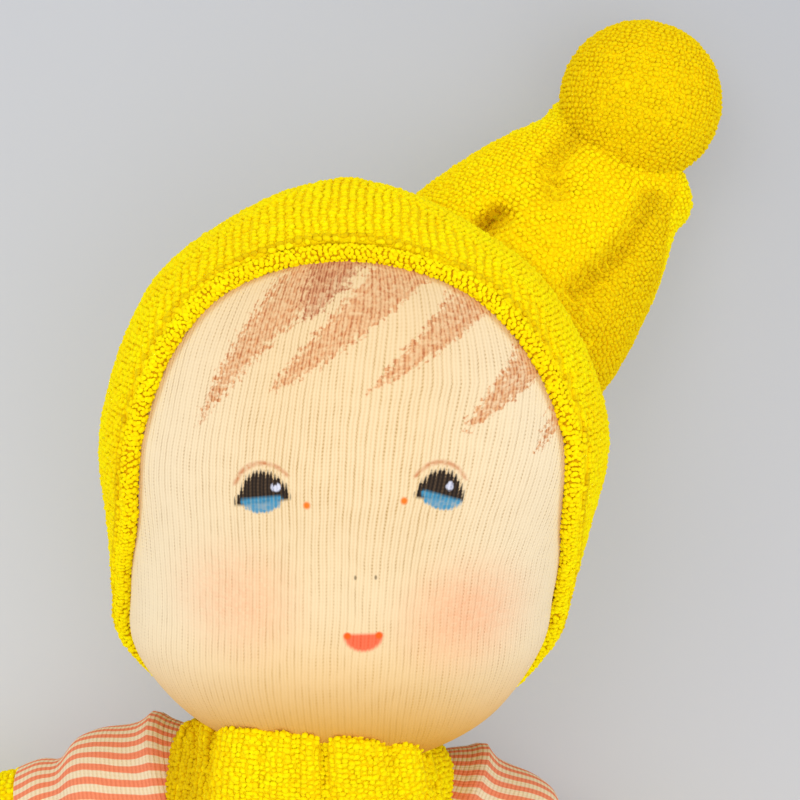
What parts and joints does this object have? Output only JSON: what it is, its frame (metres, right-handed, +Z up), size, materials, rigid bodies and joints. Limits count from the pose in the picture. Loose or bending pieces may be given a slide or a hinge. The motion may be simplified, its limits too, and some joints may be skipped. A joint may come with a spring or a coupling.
{
  "type": "soft doll",
  "caption": "Soft cloth doll in a hooded terry suit with a pointed cap and ball, striped sleeves and a flat painted face, lying on its back with arms spread.",
  "frame": {"origin": "on the table, under the middle of the doll's body", "axes": "+Y from the feet to the crown, +Z up out of the face, +X towards the doll's left arm"},
  "size_m": [0.2508, 0.3759, 0.0977],
  "materials": {
    "yellow_terry": "looped terry",
    "striped_jersey": "ribbed, cream and coral stripes",
    "skin_tricot": "fine rib knit",
    "wool_filling": "carded wool",
    "thread": "twisted cotton"
  },
  "bodies": {
    "torso": {"torso_cover": "yellow_terry", "torso_stuffing": "wool_filling"},
    "neck": {"neck_core": "wool_filling", "neck_thread": "thread"},
    "head": {"head_core": "wool_filling", "eye_line_thread": "thread", "head_skin": "skin_tricot", "hood": "yellow_terry", "hood_hem": "yellow_terry"},
    "tail": {"cap_tail": "yellow_terry"},
    "bobble": {"bobble_cover": "yellow_terry", "bobble_stuffing": "wool_filling", "bobble_thread": "thread"},
    "arm_left": {"sleeve_left": "striped_jersey", "upper_arm_stuffing_left": "wool_filling"},
    "arm_right": {"sleeve_right": "striped_jersey", "upper_arm_stuffing_right": "wool_filling"},
    "forearm_left": {"forearm_cover_left": "yellow_terry", "forearm_stuffing_left": "wool_filling", "hand_left": "skin_tricot", "wrist_thread_left": "thread"},
    "forearm_right": {"forearm_cover_right": "yellow_terry", "forearm_stuffing_right": "wool_filling", "hand_right": "skin_tricot", "wrist_thread_right": "thread"},
    "leg_left": {"leg_cover_left": "yellow_terry", "leg_stuffing_left": "wool_filling", "foot_left": "yellow_terry", "ankle_thread_left": "thread"},
    "leg_right": {"leg_cover_right": "yellow_terry", "leg_stuffing_right": "wool_filling", "foot_right": "yellow_terry", "ankle_thread_right": "thread"}
  },
  "joints": [
    {"name": "head_nod", "type": "hinge", "parent": "torso", "child": "neck", "pos_m": [0.0085, 0.046, 0.0392], "axis": [1, 0, 0], "range_deg": [-5, 10]},
    {"name": "head_turn", "type": "hinge", "parent": "neck", "child": "head", "pos_m": [0.00207, 0.1128, 0.05019], "axis": [-0.0946, 0.9823, 0.1616], "range_deg": [-45, 45]},
    {"name": "tail_lift", "type": "hinge", "parent": "head", "child": "tail", "pos_m": [0.03276, 0.15292, 0.022], "axis": [0.8141, -0.5807, 0], "range_deg": [-15, 60]},
    {"name": "bobble_flop", "type": "hinge", "parent": "tail", "child": "bobble", "pos_m": [0.05309, 0.18142, 0.01], "axis": [0, 0, 1], "range_deg": [-25, 25]},
    {"name": "arm_swing_left", "type": "hinge", "parent": "torso", "child": "arm_left", "pos_m": [0.033, 0.034, 0.0205], "axis": [0, 0, 1], "range_deg": [-15, 45]},
    {"name": "arm_bend_left", "type": "hinge", "parent": "arm_left", "child": "forearm_left", "pos_m": [0.06591, 0.01865, 0.0168], "axis": [-0.4226, -0.9063, 0], "range_deg": [-10, 45]},
    {"name": "arm_swing_right", "type": "hinge", "parent": "torso", "child": "arm_right", "pos_m": [-0.033, 0.034, 0.0205], "axis": [0, 0, -1], "range_deg": [-15, 45]},
    {"name": "arm_bend_right", "type": "hinge", "parent": "arm_right", "child": "forearm_right", "pos_m": [-0.0669, 0.02099, 0.0168], "axis": [-0.3584, 0.9336, 0], "range_deg": [-10, 45]},
    {"name": "hip_left", "type": "hinge", "parent": "torso", "child": "leg_left", "pos_m": [0.0185, -0.06, 0.0167], "axis": [-1, 0, 0], "range_deg": [-5, 65]},
    {"name": "hip_right", "type": "hinge", "parent": "torso", "child": "leg_right", "pos_m": [-0.0185, -0.06, 0.0167], "axis": [-1, 0, 0], "range_deg": [-5, 65]}
  ]
}
